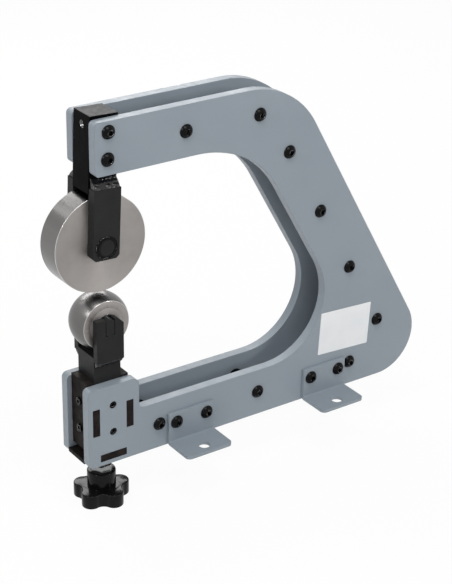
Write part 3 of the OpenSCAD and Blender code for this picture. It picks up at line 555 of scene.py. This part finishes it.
anvil_low, anvil_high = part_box("lower_anvil")
anvil_axle = axle_line(anvil_low, anvil_high)
anvil_radius = (anvil_high[0] - anvil_low[0]) / 2
anvil_side = math.sqrt(anvil_radius ** 2 - anvil_high[1] ** 2)
anvil_round = 0.0004
anvil_steel = turned_finish("anvil_steel", anvil_axle, anvil_side, tread_roughness=0.28)
dress(anvil_steel, "anvil_keepers")
anvil = merged_copy("lower_anvil")


def on_anvil_rim(vert):
    reach = math.hypot(vert.co.x - anvil_axle.x, vert.co.z - anvil_axle.z)
    inside = min(vert.co.y - anvil_low[1], anvil_high[1] - vert.co.y)
    return inside < same_place and abs(reach - anvil_side) < 2 * same_place


anvil_rim = [e for e in anvil.edges if all(on_anvil_rim(v) for v in e.verts)]
for face in bmesh.ops.bevel(anvil, geom=anvil_rim, offset=anvil_round, affect="EDGES", segments=3,
                            profile=0.5, material=-1)["faces"]:
    face.material_index = 1
for face in anvil.faces:
    face.smooth = True
turned_anvil = show(anvil, "turned_anvil", "lower_anvil", "turned_steel", anvil_steel, rim_steel_with_painted_highlight)
keep_sides_flat(turned_anvil)
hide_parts("lower_anvil")

# The bearings, their spacers, the thrust plug, the jam nut and the knob's
# washer. Ground bearing steel, bright and even, lightly oiled.
ground_steel, ground_tree, ground_shader, ground_where = start_finish(
    "ground_steel", metallic=1.0, roughness=0.2)
tint(ground_tree, cloud(ground_tree, ground_where, scale=90), ground_shader.inputs["Base Color"],
     dark=(0.20, 0.203, 0.206), light=(0.28, 0.283, 0.286))
spread(ground_tree, cloud(ground_tree, ground_where, scale=500), ground_shader.inputs["Roughness"],
       low=0.14, high=0.26)
relief(ground_tree, ground_shader, edge_radius=0.0003, layers=[
    (cloud(ground_tree, ground_where, scale=1600, detail=2), 0.00001)])
dress(ground_steel, "wheel_spacers", "wheel_bearing_inners", "wheel_bearing_outers",
      "wheel_bearing_balls", "anvil_spacers", "anvil_bearing_inners", "anvil_bearing_outers",
      "anvil_bearing_balls", "thrust_plug", "jam_nut", "knob_washer")

# The guide box. Raw flame-cut plate, browned by oil and handling: two walls
# and a floor let into the side plates by tenons, and a strip across the toe.
oiled_plate, oiled_tree, oiled_shader, oiled_where = start_finish(
    "oiled_plate", metallic=0.0, roughness=0.5, shine=0.04)
tint(oiled_tree, cloud(oiled_tree, oiled_where, scale=55, detail=6), oiled_shader.inputs["Base Color"],
     dark=(0.008, 0.0066, 0.0062), light=(0.026, 0.021, 0.0195))
spread(oiled_tree, cloud(oiled_tree, oiled_where, scale=150, detail=4), oiled_shader.inputs["Roughness"],
       low=0.34, high=0.62)
relief(oiled_tree, oiled_shader, edge_radius=0.0004, layers=[
    (cloud(oiled_tree, oiled_where, scale=320, detail=5), 0.00015)])
dress(oiled_plate, "guide_wall_front", "guide_wall_rear", "guide_floor", "toe_strip")

# The lead nut. A turned bronze bush pressed into the guide floor, cut inside
# to the lead screw's thread.
bush_bronze, bronze_tree, bronze_shader, bronze_where = start_finish(
    "bush_bronze", metallic=1.0, roughness=0.34)
tint(bronze_tree, cloud(bronze_tree, bronze_where, scale=80, detail=4), bronze_shader.inputs["Base Color"],
     dark=(0.40, 0.24, 0.09), light=(0.52, 0.33, 0.13))
relief(bronze_tree, bronze_shader, edge_radius=0.0005, layers=[
    (cloud(bronze_tree, bronze_where, scale=900, detail=2), 0.00003)])
dress(bush_bronze, "lead_nut")

# The lead screw. A bright steel spindle with a trapezoidal thread of 4 mm
# pitch; its thrust head turns inside the foot of the post.
screw_low, screw_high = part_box("lead_screw")
screw_x = (screw_low[0] + screw_high[0]) / 2
thrust_height = 0.008
thrust_radius = 0.015
thrust_low = screw_high[2] - thrust_height
thread_pitch = 0.004
thread_root = 0.0078
thread_crest = 0.00995
thread_sink = 0.0004
thread_width = 0.0030
crest_width = 0.0014
thread_gap = 0.001
thread_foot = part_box("jam_nut")[1][2] + thread_gap
thread_head = thrust_low - thread_gap
crest_foot = thread_foot + (thread_width - crest_width) / 2
turn_steps = 32
thread_turns = int((thread_head - thread_foot) / thread_pitch) - 1
threaded = bmesh.new()
flank = [threaded.verts.new((thread_root - thread_sink, 0, thread_foot)),
         threaded.verts.new((thread_crest, 0, crest_foot)),
         threaded.verts.new((thread_crest, 0, crest_foot + crest_width)),
         threaded.verts.new((thread_root - thread_sink, 0, thread_foot + thread_width))]
thread_face = threaded.faces.new(flank)
bmesh.ops.spin(threaded, geom=[thread_face, *thread_face.edges, *thread_face.verts], cent=(0, 0, 0),
               axis=(0, 0, 1), dvec=(0, 0, thread_pitch / turn_steps),
               angle=2 * math.pi * thread_turns, steps=turn_steps * thread_turns, use_duplicate=False)
bmesh.ops.recalc_face_normals(threaded, faces=threaded.faces[:])
for foot, head, radius in ((screw_low[2], thrust_low, thread_root),
                           (screw_low[2], thread_foot, thread_crest),
                           (thrust_low, screw_high[2], thrust_radius)):
    bmesh.ops.create_cone(threaded, cap_ends=True, segments=64, radius1=radius, radius2=radius,
                          depth=head - foot, matrix=Matrix.Translation((0, 0, (foot + head) / 2)))
bmesh.ops.translate(threaded, vec=(screw_x, 0, 0), verts=threaded.verts)
for face in threaded.faces:
    face.smooth = len(face.verts) == 4
threaded_screw = show(threaded, "threaded_screw", "lead_screw", "bearing_steel", ground_steel)
threaded_screw.data.set_sharp_from_angle(angle=math.radians(35))
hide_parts("lead_screw")

# The blind hole in the front of the head bar. A bare coarse thread, tapped
# through the paint and left open.
hole_mouth = Vector((-0.28472, 0, 0.52722))
hole_outward = Vector((-0.9991, 0, 0.0419))
hole_radius = 0.00598
hole_crest = 0.0052
hole_pitch = 0.00175
hole_turns = 4
hole_start = 0.0008
ridge_half = 0.0007
hole_thread = bmesh.new()
ridge = [hole_thread.verts.new((hole_crest, 0, 0)),
         hole_thread.verts.new((hole_radius, 0, -ridge_half)),
         hole_thread.verts.new((hole_radius, 0, ridge_half))]
ridge_face = hole_thread.faces.new(ridge)
bmesh.ops.spin(hole_thread, geom=[ridge_face, *ridge_face.edges, *ridge_face.verts], cent=(0, 0, 0),
               axis=(0, 0, 1), dvec=(0, 0, -hole_pitch / turn_steps),
               angle=2 * math.pi * hole_turns, steps=turn_steps * hole_turns, use_duplicate=False)
bmesh.ops.recalc_face_normals(hole_thread, faces=hole_thread.faces[:])
hole_place = (Matrix.Translation(hole_mouth - hole_outward * hole_start)
              @ hole_outward.to_track_quat("Z", "Y").to_matrix().to_4x4())
bmesh.ops.transform(hole_thread, verts=hole_thread.verts, matrix=hole_place)
show(hole_thread, "hole_thread", "frame", "bearing_steel", ground_steel)

# The star knob. Moulded in hard gloss black plastic, with rounded edges on its
# lobes and a rounded shoulder on the hub, round a nut on the lead screw.
knob_black, knob_tree, knob_shader, knob_where = start_finish(
    "knob_black", metallic=0.0, roughness=0.14, shine=0.13)
tint(knob_tree, cloud(knob_tree, knob_where, scale=60, detail=4), knob_shader.inputs["Base Color"],
     dark=(0.003, 0.003, 0.003), light=(0.007, 0.0068, 0.0065))
spread(knob_tree, cloud(knob_tree, knob_where, scale=140), knob_shader.inputs["Roughness"],
       low=0.10, high=0.18)
relief(knob_tree, knob_shader, edge_radius=0.0004, layers=[
    (cloud(knob_tree, knob_where, scale=45, detail=1), 0.00006)])
knob_low, knob_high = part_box("star_knob")
hub_radius = 0.022
hub_round = 0.003
lobe_height = 0.0226
lobe_round = 0.0018
lobe_valley = 0.028
lobe_tip = 0.06
edge_reach = 0.001
knob = merged_copy("star_knob")
bmesh.ops.dissolve_limit(knob, angle_limit=math.radians(1), verts=knob.verts[:], edges=knob.edges[:])


def flat_edges(shape, height, inner, outer):
    return [e for e in shape.edges
            if all(abs(v.co.z - height) < same_place
                   and inner < math.hypot(v.co.x - screw_x, v.co.y) < outer for v in e.verts)]


hub_edges = flat_edges(knob, knob_high[2], hub_radius - edge_reach, hub_radius + edge_reach)
bmesh.ops.bevel(knob, geom=hub_edges, offset=hub_round, affect="EDGES", segments=5, profile=0.5, material=-1)
for height in (knob_low[2] + lobe_height, knob_low[2]):
    bmesh.ops.bevel(knob, geom=flat_edges(knob, height, lobe_valley, lobe_tip), offset=lobe_round,
                    affect="EDGES", segments=4, profile=0.5, material=-1)
for face in knob.faces:
    face.smooth = True
moulded_knob = show(knob, "moulded_knob", "lead_screw", "knob_black", knob_black)
moulded_knob.data.set_sharp_from_angle(angle=math.radians(40))
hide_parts("star_knob")
